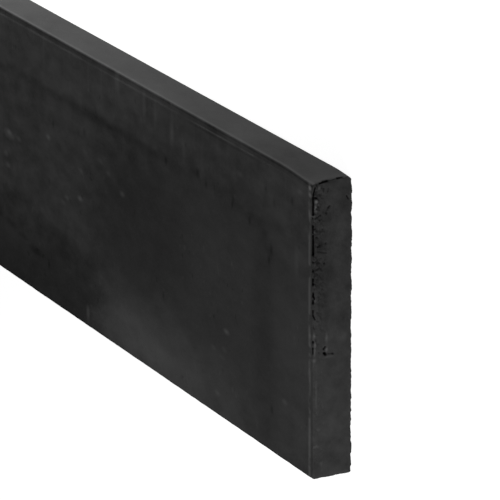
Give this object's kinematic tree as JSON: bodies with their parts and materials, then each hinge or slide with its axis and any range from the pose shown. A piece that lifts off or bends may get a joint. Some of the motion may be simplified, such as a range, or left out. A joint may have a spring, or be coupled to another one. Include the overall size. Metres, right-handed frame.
{
  "type": "concrete gravel board",
  "caption": "Flat precast concrete plank with eased edges and a faint lap mark under its pour edge, set on edge between slotted fence posts below the fence panel.",
  "frame": {"origin": "middle of the back face, on the floor that the board lies on", "axes": "+X along the length, +Y towards the trowelled pour edge, +Z out of the front face"},
  "size_m": [1.84, 0.25, 0.035],
  "materials": {
    "anthracite_concrete": "through-dyed anthracite concrete, mould-smooth with faint clouds and a tide line, matt, with small chips along the end arrises"
  },
  "bodies": {
    "root": {"gravel_board": "anthracite_concrete"}
  },
  "joints": []
}
